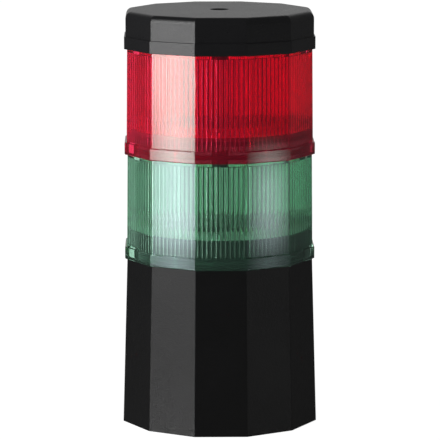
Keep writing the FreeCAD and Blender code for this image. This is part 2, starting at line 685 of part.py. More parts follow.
def make_light_board(label, height, middle_hole):
    """A round circuit board with a hole for the mast, a slot for the riser and screw holes."""
    body = new_body(label.title().replace("_", ""), height)
    outline = new_sketch(body, "Outline")
    add_circle(outline, LIGHT_BOARD)
    add_circle(outline, f"({middle_hole} + board_hole_gap)")
    pad(body, outline, "board_thickness", "Board")
    cut_screw_ring(body, LIGHT_SCREW_RING, -90, LIGHT_BOARD_SCREWS, SCREW_PASSAGE,
                   "board_thickness", "board_thickness", "ScrewHole")
    slot = new_sketch(body, "RiserSlot", "board_thickness")
    add_rectangle(slot, RISER_SLOT_WIDTH, RISER_SLOT_DEPTH, "0", RISER_RING)
    cut_down(body, slot, "board_thickness", "RiserSlotCut")
    keep(body, label)


def make_led(label, height, angle):
    """A lamp: a square body with a clear half-round dome on top."""
    body = new_body(label.title().replace("_", ""), height)
    bind(body, "Placement.Base.x", ring_x(LED_RING, angle))
    bind(body, "Placement.Base.y", ring_y(LED_RING, angle))
    bind(body, "Placement.Rotation.Angle", f"{angle} deg")
    outline = new_sketch(body, "Outline")
    add_rectangle(outline, "led_width", "led_width")
    pad(body, outline, "led_height", "Block")
    dome = body.newObject("PartDesign::AdditiveSphere", "Dome")
    dome.Angle1 = 0
    bind(dome, "Radius", "led_dome")
    bind(dome, "Placement.Base.z", "led_height")
    keep(body, label)


def make_riser_board():
    body = new_body("RiserBoard", RISER_FOOT)
    outline = new_sketch(body, "Outline")
    add_rectangle(outline, "riser_width", "board_thickness", "0", RISER_RING)
    top = f"({RED_SEAT} + board_thickness + riser_rise)"
    pad(body, outline, f"{top} - {RISER_FOOT}", "Board")
    keep(body, "riser_board")


def make_riser_socket():
    body = new_body("RiserSocket", MAIN_BOARD_TOP)
    outline = new_sketch(body, "Outline")
    add_rectangle(outline, f"{RISER_SLOT_WIDTH} + 2 * socket_wall",
                  f"{RISER_SLOT_DEPTH} + 2 * socket_wall", "0", RISER_RING)
    pad(body, outline, "socket_height", "Block")
    slot = new_sketch(body, "Slot", "socket_height")
    add_rectangle(slot, RISER_SLOT_WIDTH, RISER_SLOT_DEPTH, "0", RISER_RING)
    cut_down(body, slot, "socket_height - socket_floor", "SlotCut")
    keep(body, "riser_socket")


def make_main_board():
    body = new_body("MainBoard", MAIN_BOARD_UNDERSIDE)
    outline = new_sketch(body, "Outline")
    add_circle(outline, MAIN_BOARD)
    pad(body, outline, "board_thickness", "Board")
    cut_screw_ring(body, POST_RING, 180 / BOARD_SCREWS, BOARD_SCREWS, SCREW_PASSAGE,
                   "board_thickness", "board_thickness", "ScrewHole")
    keep(body, "main_board")


def terminal_x(number):
    return f"terminal_pitch * {number - (TERMINALS - 1) / 2}"


def make_terminal_block():
    body = new_body("TerminalBlock", f"{MAIN_BOARD_UNDERSIDE} - terminal_height")
    outline = new_sketch(body, "Outline")
    add_rectangle(outline, f"terminal_pitch * {TERMINALS}", "terminal_depth", "0", "-terminal_offset")
    pad(body, outline, "terminal_height", "Block")
    wells = new_sketch(body, "Wells")
    for number in range(TERMINALS):
        add_circle(wells, "(terminal_screw_radius + screw_clearance)", terminal_x(number),
                   "-terminal_offset")
    cut_up(body, wells, "terminal_well_depth", "WellsCut")
    front = new_sketch(body, "WireHoles", "terminal_offset + terminal_depth / 2", "XZ_Plane")
    for number in range(TERMINALS):
        add_circle(front, "wire_hole_radius", terminal_x(number), "terminal_height - wire_hole_roof")
    extrude(body, "Pocket", front, "wire_hole_depth", "WireHolesCut")
    keep(body, "terminal_block")


def make_terminal_screws():
    body = new_body("TerminalScrews", f"{MAIN_BOARD_UNDERSIDE} - terminal_height + "
                    "terminal_well_depth - terminal_screw_length")
    shanks = new_sketch(body, "Shanks")
    slots = new_sketch(body, "Slots")
    for number in range(TERMINALS):
        add_circle(shanks, "terminal_screw_radius", terminal_x(number), "-terminal_offset")
        add_rectangle(slots, "drive_width", "3 * terminal_screw_radius", terminal_x(number),
                      "-terminal_offset")
    pad(body, shanks, "terminal_screw_length", "ShankPad")
    cut_up(body, slots, "terminal_slot_depth", "SlotCut")
    keep(body, "terminal_screws")


def make_components():
    """The capacitor and the driver chip under the main board."""
    capacitor = doc.addObject("Part::Cylinder", "Capacitor")
    bind(capacitor, "Radius", "capacitor_radius")
    bind(capacitor, "Height", "capacitor_height")
    bind(capacitor, "Placement.Base.x", "component_offset")
    bind(capacitor, "Placement.Base.z", f"{MAIN_BOARD_UNDERSIDE} - capacitor_height")
    keep(capacitor, "capacitor")
    chip = doc.addObject("Part::Box", "DriverChip")
    bind(chip, "Length", "chip_width")
    bind(chip, "Width", "chip_length")
    bind(chip, "Height", "chip_height")
    bind(chip, "Placement.Base.x", "-component_offset - chip_width / 2")
    bind(chip, "Placement.Base.y", "-chip_length / 2")
    bind(chip, "Placement.Base.z", f"{MAIN_BOARD_UNDERSIDE} - chip_height")
    keep(chip, "driver_chip")


# ---- the whole light ----

make_base_housing()
make_base_plate()
make_plate_seal()
make_grommet()
make_screws("plate_screws", PLATE_SCREWS, LUG_RING, 0, "screw_sink + screw_head_height",
            "plate_screw_length", from_below=True)
make_inserts("mounting_inserts", MOUNTING_INSERTS, "insert_ring", 180 / MOUNTING_INSERTS, "0",
             "insert_length", "insert_radius", "insert_bore")
make_main_board()
make_screws("board_screws", BOARD_SCREWS, POST_RING, 180 / BOARD_SCREWS, MAIN_BOARD_UNDERSIDE,
            "board_screw_length", from_below=True)
make_terminal_block()
make_terminal_screws()
make_components()
make_riser_socket()
make_riser_board()
make_mast()
make_screws("mast_screws", MAST_SCREWS, MAST_SCREW_RING, 180 / MAST_SCREWS,
            f"{DECK} + foot_height", "mast_screw_length")
make_inserts("mast_insert", 1, "0", 0, f"{MAST_TOP} - mast_insert_length", "mast_insert_length",
             "mast_insert_radius", CAP_THREAD)
for colour, seat, middle_hole in (("green", DECK, MAST_FOOT), ("red", RED_SEAT, "mast_radius")):
    make_light_board(f"{colour}_light_board", seat, middle_hole)
    make_screws(f"{colour}_board_screws", LIGHT_BOARD_SCREWS, LIGHT_SCREW_RING, -90,
                f"{seat} + board_thickness", "light_screw_length")
    for number in range(LEDS_PER_TIER):
        make_led(f"{colour}_led_{number + 1}", f"{seat} + board_thickness",
                 360 / LEDS_PER_TIER * number)
for colour, foot in (("green", "base_height"), ("red", RED_FOOT)):
    make_lens(f"{colour}_lens", foot)
for label, shoulder in (("base_seal", "base_height"), ("green_seal", RED_FOOT), ("red_seal", CAP_FOOT)):
    make_neck_seal(label, shoulder)
make_cap()
make_ring("screw_seal", f"{SCREW_SHOULDER} - screw_seal_thickness", "screw_seal_thickness",
          "cap_screw_head", "(cap_screw_radius + screw_clearance)")
make_screws("cap_screw", 1, "0", 0, SCREW_SHOULDER, "cap_screw_length", shank="cap_screw_radius",
            head="cap_screw_head", head_height="cap_screw_head_height")
make_ring("screw_retainer", f"{MAST_TOP} + cap_boss_gap + retainer_gap / 2", "retainer_thickness",
          "retainer_radius", CAP_THREAD)

doc.recompute()

for thing in doc.Objects:
    if "Invalid" in thing.State or "Error" in thing.State:
        raise RuntimeError(f"{thing.Label} failed: {thing.State}")
for part in parts:
    if part.Shape.isNull() or not part.Shape.isValid():
        raise RuntimeError(f"{part.Label} has no valid shape")

os.makedirs("parts", exist_ok=True)
for part in parts:
    part.Shape.exportStep(os.path.join("parts", f"{part.Label}.step"))
    print(f"{part.Label}: {len(part.Shape.Solids)} solid(s), {part.Shape.Volume:.1f} mm3")
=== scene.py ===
import math

import bpy
import numpy as np
from mathutils import Euler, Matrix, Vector


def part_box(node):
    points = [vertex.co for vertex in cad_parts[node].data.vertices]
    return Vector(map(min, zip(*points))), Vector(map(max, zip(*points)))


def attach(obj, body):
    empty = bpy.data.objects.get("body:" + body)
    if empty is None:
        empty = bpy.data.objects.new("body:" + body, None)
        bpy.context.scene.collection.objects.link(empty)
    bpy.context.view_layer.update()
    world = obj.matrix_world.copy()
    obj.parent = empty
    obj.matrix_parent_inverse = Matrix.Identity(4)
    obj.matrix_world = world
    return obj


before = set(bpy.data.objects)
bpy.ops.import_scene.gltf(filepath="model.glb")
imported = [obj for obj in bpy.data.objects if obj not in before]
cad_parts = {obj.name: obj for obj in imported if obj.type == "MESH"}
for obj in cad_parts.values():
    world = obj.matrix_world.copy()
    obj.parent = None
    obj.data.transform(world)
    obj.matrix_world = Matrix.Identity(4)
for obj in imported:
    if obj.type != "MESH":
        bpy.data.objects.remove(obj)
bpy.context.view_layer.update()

MM = 0.001

# Sizes that the pieces have. The lamps are counted on one light board.
LAMPS = 6
LAMP_BODY = 1.6 * MM
CAP_SCREW_SHANK = 2.0 * MM
CAPACITOR_RADIUS = 5.0 * MM


def middle(node):
    """The middle of a node's box."""
    return np.mean(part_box(node), axis=0)


# ---------------------------------------------------------------- shader maths

class Value:
    """A shader socket that can be added, multiplied and compared like a number."""

    def __init__(self, recipe, socket):
        self.recipe = recipe
        self.socket = socket

    def __add__(self, other):
        return self.recipe.math("ADD", self, other)

    def __sub__(self, other):
        return self.recipe.math("SUBTRACT", self, other)

    def __mul__(self, other):
        return self.recipe.math("MULTIPLY", self, other)

    def __truediv__(self, other):
        return self.recipe.math("DIVIDE", self, other)

    def __rsub__(self, other):
        return self.recipe.math("SUBTRACT", other, self)

    def __rtruediv__(self, other):
        return self.recipe.math("DIVIDE", other, self)

    __radd__ = __add__
    __rmul__ = __mul__

    def __abs__(self):
        return self.recipe.math("ABSOLUTE", self, 0.0)

    def fraction(self):
        """What is left of each number over the whole number below it."""
        return self.recipe.math("FRACT", self, 0.0)

    def sine(self):
        """The sine of an angle in radians."""
        return self.recipe.math("SINE", self, 0.0)

    def ramp(self, low, high, start=0.0, end=1.0):
        """A smooth step from start, at low and under, to end, at high and over."""
        return self.recipe.node(
            "ShaderNodeMapRange", {"interpolation_type": "SMOOTHSTEP"},
            {"Value": self, "From Min": low, "From Max": high, "To Min": start, "To Max": end})


class Recipe:
    """A node tree built step by step, for a material or for the world."""

    def __init__(self, owner, output_kind):
        self.owner = owner
        owner.use_nodes = True
        self.tree = owner.node_tree
        self.tree.nodes.clear()
        self.output = self.tree.nodes.new(output_kind)

    def node(self, kind, settings, inputs, output=0):
        """Add a node, set its settings, fill or link its inputs, and return one output."""
        node = self.tree.nodes.new(kind)
        for name, setting in settings.items():
            setattr(node, name, setting)
        for name, value in inputs.items():
            if isinstance(value, Value):
                self.tree.links.new(value.socket, node.inputs[name])
            else:
                node.inputs[name].default_value = value
        return Value(self, node.outputs[output])

    def math(self, operation, first, second):
        """One step of arithmetic on two numbers or values."""
        return self.node("ShaderNodeMath", {"operation": operation}, {0: first, 1: second})

    def parts(self, vector):
        """The X, Y and Z of a vector."""
        kind = "ShaderNodeSeparateXYZ"
        return [self.node(kind, {}, {"Vector": vector}, axis) for axis in "XYZ"]

    def here(self):
        """The X, Y and Z of the point being shaded, in metres."""
        return self.parts(self.place())

    def polar(self, centre):
        """Distance from an upright axis through centre, and the angle round it, in radians."""
        x, y, _ = self.here()
        across, along = x - centre[0], y - centre[1]
        distance = self.math("SQRT", across * across + along * along, 0.0)
        return distance, self.math("ARCTAN2", along, across)

    def place(self, scale=(1, 1, 1)):
        """Object coordinates, scaled along each axis."""
        here = self.node("ShaderNodeTexCoord", {}, {}, "Object")
        return self.node("ShaderNodeMapping", {}, {"Vector": here, "Scale": scale})

    def noise(self, size, detail=2.0, stretch=(1, 1, 1)):
        """Noise whose patches are about size metres across."""
        where = self.place(tuple(share / size for share in stretch))
        inputs = {"Vector": where, "Scale": 1.0, "Detail": detail}
        return self.node("ShaderNodeTexNoise", {}, inputs)

    def mix(self, share, first, second):
        """Blend two colours."""
        inputs = {0: share, 6: first, 7: second}
        return self.node("ShaderNodeMix", {"data_type": "RGBA"}, inputs, output=2)

    def blend(self, share, first, second):
        """Blend two shaders."""
        return self.node("ShaderNodeMixShader", {}, {0: share, 1: first, 2: second})

    def ray(self, kind):
        """1 for rays of one kind, and 0 for all others."""
        return self.node("ShaderNodeLightPath", {}, {}, kind)

    def bump(self, height, depth, **normal):
        """A normal with relief: height runs from 0 to 1, and depth is that of 1, in metres."""
        inputs = {"Height": height, "Distance": depth, "Strength": 1.0}
        return self.node("ShaderNodeBump", {}, {**inputs, **normal})

    def soft_edges(self, radius):
        """The surface normal, turned over each sharp edge as a small round would."""
        return self.node("ShaderNodeBevel", {"samples": 6}, {"Radius": radius})

    def principled(self, **inputs):
        """A Principled shader, with spaces in its socket names written as underscores."""
        named = {name.replace("_", " "): value for name, value in inputs.items()}
        return self.node("ShaderNodeBsdfPrincipled", {}, named)

    def finish(self, shader):
        """Join the shader to the output and return what the recipe is for."""
        self.tree.links.new(shader.socket, self.output.inputs["Surface"])
        return self.owner


# ---------------------------------------------------------------- finishes

def new_material(name):
    """An empty recipe for a material."""
    return Recipe(bpy.data.materials.new(name), "ShaderNodeOutputMaterial")


def grey(level):
    """A neutral colour."""
    return (level, level, level, 1)


def moulded_black(name, grain, roughness, depth, shade):
    """Black moulding with a fine grain, a coarser mottle and edges that catch the light."""
    recipe = new_material(name)
    fine, mottle, broad = recipe.noise(grain), recipe.noise(1.1 * MM), recipe.noise(20 * MM)
    dark = (0.8 * shade, 0.8 * shade, 0.9 * shade, 1)
    pale = (1.2 * shade, 1.2 * shade, 1.35 * shade, 1)
    tone = recipe.mix(broad, dark, pale)
    rough = roughness + (broad - 0.5) * 0.06 + (mottle - 0.5) * 0.12
    normal = recipe.bump(fine + mottle, depth, Normal=recipe.soft_edges(0.4 * MM))
    return recipe.finish(recipe.principled(
        Base_Color=tone, Roughness=rough, IOR=1.5, Normal=normal))


def clear_plastic(name, tint, glint, clarity):
    """Clear plastic that bends light, and lets lamps light what is behind it.

    Tint is the colour of the light that comes through it, and glint that of its reflections.
    """
    recipe = new_material(name)
    ripple = recipe.noise(30 * MM, detail=0.0)
    glass = recipe.principled(
        Base_Color=tint, Specular_Tint=glint, Roughness=0.02, IOR=1.49,
        Transmission_Weight=clarity, Normal=recipe.bump(ripple, 0.02 * MM))
    one_face = tuple(math.sqrt(part) for part in tint)
    shade = recipe.node("ShaderNodeBsdfTransparent", {}, {"Color": one_face})
    return recipe.finish(recipe.blend(recipe.ray("Is Shadow Ray"), glass, shade))


def moulded(name, dark, light, roughness):
    """Plain moulded plastic: faint flow marks in the colour and a fine grain."""
    recipe = new_material(name)
    flow, fine = recipe.noise(8 * MM, stretch=(1, 1, 0.3)), recipe.noise(0.5 * MM)
    rough = roughness + (fine - 0.5) * 0.1
    return recipe.finish(recipe.principled(
        Base_Color=recipe.mix(flow, dark, light), Roughness=rough,
        Normal=recipe.bump(fine, 0.02 * MM)))


def rubber(name):
    """Matt black rubber with a pale bloom in patches."""
    recipe = new_material(name)
    bloom, fine = recipe.noise(4 * MM), recipe.noise(0.3 * MM)
    colour = recipe.mix(bloom.ramp(0.45, 0.8), grey(0.012), grey(0.03))
    return recipe.finish(recipe.principled(
        Base_Color=colour, Roughness=0.55 + bloom * 0.2, Normal=recipe.bump(fine, 0.03 * MM)))


def helix(recipe, pitch):
    """0 at the root and 1 at the crest of a thread round the middle axis."""
    _, turn = recipe.polar((0, 0))
    rise = recipe.here()[2] / pitch
    return abs((rise - turn / (2 * math.pi)).fraction() - 0.5) * 2.0


def plated(name, pitch=None):
    """Zinc plating with turning marks, and a thread on the cap screw's shank at a given pitch,
    with painted shade darkening the thread's roots.
    """
    recipe = new_material(name)
    marks, patches = recipe.noise(0.3 * MM, stretch=(1, 1, 4)), recipe.noise(2 * MM)
    colour = recipe.mix(patches, (0.56, 0.57, 0.58, 1), (0.7, 0.69, 0.64, 1))
    relief, depth = marks, 0.01 * MM
    if pitch:
        crest = helix(recipe, pitch).ramp(0.1, 0.9)
        distance, _ = recipe.polar((0, 0))
        beyond = CAP_SCREW_SHANK + 0.05 * MM
        shank = distance.ramp(beyond, beyond + 0.15 * MM, 1.0, 0.0)
        # Painted shade: the roots of the thread on the shank are coloured dark grey.
        colour = recipe.mix(shank * (1 - crest), colour, grey(0.08))
        relief, depth = crest * shank + marks * 0.05, 0.2 * MM
    return recipe.finish(recipe.principled(
        Base_Color=colour, Metallic=1.0, Roughness=0.24 + patches * 0.14,
        Normal=recipe.bump(relief, depth)))


def turned_brass(name, ribs=0):
    """Brass with turning marks, and a crossed knurl round the middle axis where there are ribs."""
    recipe = new_material(name)
    marks, stain = recipe.noise(0.3 * MM, stretch=(1, 1, 6)), recipe.noise(3 * MM)
    colour = recipe.mix(stain, (0.78, 0.57, 0.26, 1), (0.62, 0.42, 0.17, 1))
    relief, depth = marks, 0.01 * MM
    if ribs:
        _, turn = recipe.polar((0, 0))
        climb = recipe.here()[2] / (0.25 * MM)
        relief = (turn * ribs + climb).sine() * (turn * ribs - climb).sine()
        depth = 0.2 * MM
    return recipe.finish(recipe.principled(
        Base_Color=colour, Metallic=1.0, Roughness=0.22 + stain * 0.15,
        Normal=recipe.bump(relief, depth)))


# The copper on the circuit boards, and the weave of the glass cloth in them.
RING_PITCH = 3.2 * MM
RINGS_INNER = 17 * MM
RINGS_OUTER = 32 * MM
TRACK_PITCH = 1.9 * MM
SIDESTEP = 4 * MM
FINGER_LENGTH = 6 * MM
COPPER_RELIEF = 0.04 * MM
WEAVE = 0.8 * MM


def stripes(value, pitch, share):
    """1 on stripes that take a share of each pitch, and 0 between them."""
    half, blur = share / 2, 0.04
    return abs((value / pitch).fraction() - 0.5).ramp(half - blur, half + blur, 1.0, 0.0)


def ring_board(name):
    """White circuit board: copper rings under the lacquer join the lamps."""
    recipe = new_material(name)
    distance, turn = recipe.polar((0, 0))
    outside = distance.ramp(RINGS_INNER, RINGS_INNER + 0.3 * MM)
    inside = distance.ramp(RINGS_OUTER - 0.2 * MM, RINGS_OUTER, 1.0, 0.0)
    rings = stripes(distance, RING_PITCH, 0.5) * outside * inside
    sector = 2 * math.pi / LAMPS
    gaps = stripes(turn + sector / 2, sector, 0.06)
    copper = rings * (1 - gaps)
    weave = recipe.noise(WEAVE)
    colour = recipe.mix(copper, (0.78, 0.79, 0.76, 1), (0.86, 0.86, 0.8, 1))
    return recipe.finish(recipe.principled(
        Base_Color=colour, Roughness=0.28 + weave * 0.1,
        Normal=recipe.bump(copper + weave * 0.1, COPPER_RELIEF)))


def track_board(name, finger_top=None):
    """Green circuit board with tracks that sidestep, and any gilt contacts below finger_top."""
    recipe = new_material(name)
    x, y, z = recipe.here()
    tracks = stripes(x + y.ramp(-12 * MM, 12 * MM) * SIDESTEP, TRACK_PITCH, 0.34)
    weave = recipe.noise(WEAVE)
    colour = recipe.mix(tracks, (0.008, 0.085, 0.03, 1), (0.02, 0.17, 0.055, 1))
    gilt = 0.0
    if finger_top is not None:
        low = z.ramp(finger_top, finger_top + 0.1 * MM, 1.0, 0.0)
        gilt = stripes(x, TRACK_PITCH, 0.62) * low
        colour = recipe.mix(gilt, colour, (0.83, 0.6, 0.2, 1))
    return recipe.finish(recipe.principled(
        Base_Color=colour, Metallic=gilt, Roughness=0.3 + weave * 0.1,
        Normal=recipe.bump(tracks + weave * 0.1, COPPER_RELIEF)))


def lamp(name, node, dome):
    """A lamp: pale ceramic body below, glossy clear resin dome above."""
    recipe = new_material(name)
    seam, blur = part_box(node)[0][2] + LAMP_BODY, 0.05 * MM
    above = recipe.here()[2].ramp(seam - blur, seam + blur)
    speck = recipe.noise(0.6 * MM)
    body = recipe.mix(speck, (0.72, 0.7, 0.62, 1), (0.8, 0.78, 0.72, 1))
    return recipe.finish(recipe.principled(
        Base_Color=recipe.mix(above, body, dome), Roughness=above.ramp(0, 1, 0.45, 0.06),
        Coat_Weight=above, Normal=recipe.bump(speck, 0.01 * MM)))


def sleeve(name, node):
    """Shrunk capacitor sleeve: dark blue with one pale stripe, and a scored vent on its end."""
    recipe = new_material(name)
    centre = middle(node)
    distance, turn = recipe.polar(centre)
    x, y, _ = recipe.here()
    side = distance.ramp(CAPACITOR_RADIUS - 0.4 * MM, CAPACITOR_RADIUS - 0.3 * MM)
    stripe = turn.ramp(1.3, 1.34) * turn.ramp(1.8, 1.84, 1.0, 0.0) * side
    bare = distance.ramp(CAPACITOR_RADIUS - 1.0 * MM, CAPACITOR_RADIUS - 0.9 * MM, 1.0, 0.0)
    line = (0.1 * MM, 0.2 * MM)
    score = abs(x - centre[0]).ramp(*line) * abs(y - centre[1]).ramp(*line)
    colour = recipe.mix(stripe, (0.008, 0.012, 0.05, 1), (0.5, 0.52, 0.56, 1))
    colour = recipe.mix(bare, colour, (0.6, 0.61, 0.62, 1))
    return recipe.finish(recipe.principled(
        Base_Color=colour, Metallic=bare, Roughness=0.3 + recipe.noise(1 * MM) * 0.1,
        Normal=recipe.bump(score, 0.2 * MM)))


BASE_BLACK = moulded_black(
    "base_black", grain=0.4 * MM, roughness=0.42, depth=0.06 * MM, shade=0.0032)
CAP_BLACK = moulded_black(
    "cap_black", grain=0.3 * MM, roughness=0.3, depth=0.04 * MM, shade=0.009)
GREEN = clear_plastic(
    "green_clear", tint=(0.34, 0.62, 0.47, 1), glint=(0.73, 0.89, 0.95, 1), clarity=0.96)
RED = clear_plastic(
    "red_clear", tint=(0.9, 0.04, 0.12, 1), glint=(0.82, 0.92, 0.84, 1), clarity=0.92)
RUBBER = rubber("rubber")
ZINC = plated("zinc")
SOLDER = plated("solder")
CHIP = moulded("chip_black", grey(0.01), grey(0.02), 0.5)
RESISTOR = moulded("resistor_black", grey(0.012), grey(0.02), 0.25)
FINISHES = {
    "base_housing": BASE_BLACK, "base_plate": BASE_BLACK, "cap": CAP_BLACK,
    "green_lens": GREEN, "red_lens": RED,
    "mast": moulded("mast_grey", grey(0.014), grey(0.022), 0.45),
    "riser_socket": moulded("socket_black", grey(0.01), grey(0.016), 0.4),
    "terminal_block": moulded("terminal_green", (0.012, 0.15, 0.05, 1), (0.02, 0.2, 0.07, 1), 0.4),
    "cap_screw": plated("cap_screw_zinc", pitch=0.7 * MM),
    "mast_insert": turned_brass("knurled_brass", ribs=24),
    "mounting_inserts": turned_brass("brass"),
    "main_board": track_board("main_board_green"),
    "riser_board": track_board("riser_board_green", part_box("riser_board")[0][2] + FINGER_LENGTH),
    "capacitor": sleeve("capacitor_sleeve", "capacitor"),
    "driver_chip": CHIP,
    "cable_grommet": RUBBER, "screw_retainer": ZINC,
}
# Any other node takes the finish of the first of these words that its name holds.
BY_WORD = {
    "seal": RUBBER, "screw": ZINC, "light_board": ring_board("white_board"),
    "green_led": lamp("green_lamp", "green_led_1", (0.55, 0.72, 0.5, 1)),
    "red_led": lamp("red_lamp", "red_led_1", (0.8, 0.5, 0.4, 1)),
}

for name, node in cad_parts.items():
    finish = FINISHES.get(name) or next(BY_WORD[word] for word in BY_WORD if word in name)
    node.data.materials.clear()
    node.data.materials.append(finish)


# ---------------------------------------------------------------- small pieces

# A fillet of solder has a reach, a height and a length.
LAMP_FILLET = (0.7 * MM, 0.6 * MM, 3.6 * MM)
JOINT_FILLET = (0.6 * MM, 0.7 * MM, 1.3 * MM)
JOINTS = 4
RESISTOR_INSET = 5.5 * MM
RESISTOR_SIZE = (3.1 * MM, 1.55 * MM, 0.6 * MM)
END_LENGTH = 0.5 * MM
END_SKIN = 0.05 * MM
CHIP_LEGS = 7
LEG_PITCH = 1.27 * MM
LEG_ROOT = 0.2 * MM
LEG_REACH = 1.6 * MM
LEG_WIDTH = 0.42 * MM
LEG_THICKNESS = 0.2 * MM


def skin(name, solids, finish, body):
    """One object of closed skins. Each solid is a stack of rings, shut at both ends by a fan."""
    points, faces, start = [], [], 0
    for rings in solids:
        rows, columns, _ = rings.shape
        points += [rings.reshape(-1, 3), rings[[0, -1]].mean(axis=1)]
        row, column = np.meshgrid(np.arange(rows - 1) * columns, np.arange(columns), indexing="ij")
        after = (column + 1) % columns
        above = row + columns
        sides = np.stack([row + column, row + after, above + after, above + column], axis=-1)
        edge, last = np.arange(columns), (rows - 1) * columns
        after = (edge + 1) % columns
        foot = np.full(columns, rows * columns)
        fans = np.concatenate([
            np.stack([after, edge, foot], axis=-1),
            np.stack([last + edge, last + after, foot + 1], axis=-1)])
        faces += (sides.reshape(-1, 4) + start).tolist() + (fans + start).tolist()
        start += rows * columns + 2
    mesh = bpy.data.meshes.new(name)
    mesh.from_pydata(np.concatenate(points).tolist(), [], faces)
    mesh.shade_smooth()
    mesh.materials.append(finish)
    piece = bpy.data.objects.new(name, mesh)
    bpy.context.scene.collection.objects.link(piece)
    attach(piece, body)
    return piece


def signed_power(value, power):
    """A power of the size of each value, with the value's own sign."""
    return np.sign(value) * np.abs(value) ** power


def placed(rings, centre, turn=0.0):
    """Rings turned about Z and moved to centre."""
    cosine, sine = math.cos(turn), math.sin(turn)
    return rings @ np.array([[cosine, sine, 0], [-sine, cosine, 0], [0, 0, 1]]) + np.array(centre)


def rounded_block(length, width, height, power=0.3):
    """A superellipsoid that stands on z = 0.

    With latitude a and longitude b, x is half the length times cos a times cos b, y is half the
    width times cos a times sin b, and z is half the height times sin a plus half the height. Each
    sine and cosine is raised to the power, with its sign kept, so a low power squares it off.
    """
    a = np.linspace(-0.48, 0.48, 13)[:, None] * math.pi
    b = np.linspace(0, 2 * math.pi, 32, endpoint=False)[None, :]
    flat = signed_power(np.cos(a), power)
    x = length / 2 * flat * signed_power(np.cos(b), power)
    y = width / 2 * flat * signed_power(np.sin(b), power)
    z = height / 2 * (1 + signed_power(np.sin(a), power)) * np.ones_like(b)
    return np.stack([x, y, z], axis=-1)


def solder_fillet(reach, height, length):
    """A hollow-sided wedge of solder that leans on the plane x = 0 and stands on z = 0.

    Its sloping side falls as the height times the square of one minus x over the reach. Along y
    the section shrinks to nothing at both ends as the fourth root of one minus the fourth power
    of the place along it.
    """
    slope = np.linspace(0, 1, 9)
    outline = np.concatenate([
        np.stack([slope, (1 - slope) ** 2], axis=-1), [[0.5, 0.0], [0.0, 0.0], [0.0, 0.5]]])
    along = np.linspace(-0.99, 0.99, 15)
    shrink = (1 - along ** 4) ** 0.25
    x = reach * outline[None, :, 0] * shrink[:, None]
    z = height * outline[None, :, 1] * shrink[:, None]
    y = length / 2 * along[:, None] * np.ones(len(outline))
    return np.stack([x, y, z], axis=-1)


def bent_leg(reach, drop, width, thickness):
    """A chip's leg from the origin out along x, up by drop on the way, and flat again.

    The height of its middle line is the drop times a smooth step between a quarter and two
    thirds of the reach. Its section is a superellipse of the width and the thickness.
    """
    x = np.linspace(0, reach, 15)
    step = np.clip((x / reach - 0.25) / 0.42, 0, 1)
    line = drop * step ** 2 * (3 - 2 * step)
    b = np.linspace(0, 2 * math.pi, 16, endpoint=False)
    y = width / 2 * signed_power(np.cos(b), 0.5)
    z = thickness / 2 * signed_power(np.sin(b), 0.5)
    return np.stack([x[:, None] + 0 * b, y + 0 * x[:, None], line[:, None] + z], axis=-1)


def dress_light_board(colour):
    """Solder at both sides of each lamp, and a chip resistor between each two lamps."""
    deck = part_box(f"{colour}_light_board")[1][2]
    first_low, first_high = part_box(f"{colour}_led_1")
    lamp_half = (first_high[0] - first_low[0]) / 2
    lamp_ring = middle(f"{colour}_led_1")[0]
    resistor_ring = lamp_ring - RESISTOR_INSET
    fillets, bodies, ends = [], [], []
    for number in range(LAMPS):
        centre = middle(f"{colour}_led_{number + 1}")
        facing = math.atan2(centre[1], centre[0])
        for side in (0, math.pi):
            away = facing + math.pi / 2 + side
            face = (centre[0] + lamp_half * math.cos(away),
                    centre[1] + lamp_half * math.sin(away), deck)
            fillets.append(placed(solder_fillet(*LAMP_FILLET), face, away))
        between = 2 * math.pi * number / LAMPS + math.pi / LAMPS
        seat = (resistor_ring * math.cos(between), resistor_ring * math.sin(between), deck)
        add_resistor(bodies, ends, seat, between + math.pi / 2)
    skin(f"{colour}_lamp_solder", fillets, SOLDER, "base")
    skin(f"{colour}_resistors", bodies, RESISTOR, "base")
    skin(f"{colour}_resistor_ends", ends, SOLDER, "base")


def add_resistor(bodies, ends, seat, turn):
    """A chip resistor and its two tinned ends, a little larger than its body."""
    length, width, height = RESISTOR_SIZE
    bodies.append(placed(rounded_block(length, width, height), seat, turn))
    end = rounded_block(END_LENGTH, width + 2 * END_SKIN, height + END_SKIN)
    for side in (-1, 1):
        shift = side * (length / 2 - END_LENGTH / 2 + END_SKIN)
        place = (seat[0] + shift * math.cos(turn), seat[1] + shift * math.sin(turn), seat[2])
        ends.append(placed(end, place, turn))


def dress_riser_board():
    """Solder where each light board meets the riser board, on its front and back."""
    low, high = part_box("riser_board")
    joints = []
    for colour in ("green", "red"):
        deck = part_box(f"{colour}_light_board")[1][2]
        for number in range(JOINTS):
            x = middle("riser_board")[0] + (number - (JOINTS - 1) / 2) * TRACK_PITCH
            for y, away in ((low[1], -math.pi / 2), (high[1], math.pi / 2)):
                joints.append(placed(solder_fillet(*JOINT_FILLET), (x, y, deck), away))
    skin("riser_solder", joints, SOLDER, "base")


def dress_chip():
    """Two rows of bent legs from the chip's long sides to the board above it."""
    low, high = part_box("driver_chip")
    centre = middle("driver_chip")
    half = (high[0] - low[0]) / 2
    drop = high[2] - centre[2] - LEG_THICKNESS / 2
    leg = bent_leg(LEG_ROOT + LEG_REACH, drop, LEG_WIDTH, LEG_THICKNESS)
    legs = []
    for number in range(CHIP_LEGS):
        y = centre[1] + (number - (CHIP_LEGS - 1) / 2) * LEG_PITCH
        for side in (0, math.pi):
            x = centre[0] + (half - LEG_ROOT) * math.cos(side)
            legs.append(placed(leg, (x, y, centre[2]), side))
    skin("chip_legs", legs, SOLDER, "base")


dress_light_board("green")
dress_light_board("red")
dress_riser_board()
dress_chip()


# ---------------------------------------------------------------- studio

FLOOR_REACH = 6.0
FLOOR_LEVEL = -0.02 * MM
SOFTBOX_DISTANCE = 360 * MM
SOFTBOX_WAIST = (0.17, 0.26)
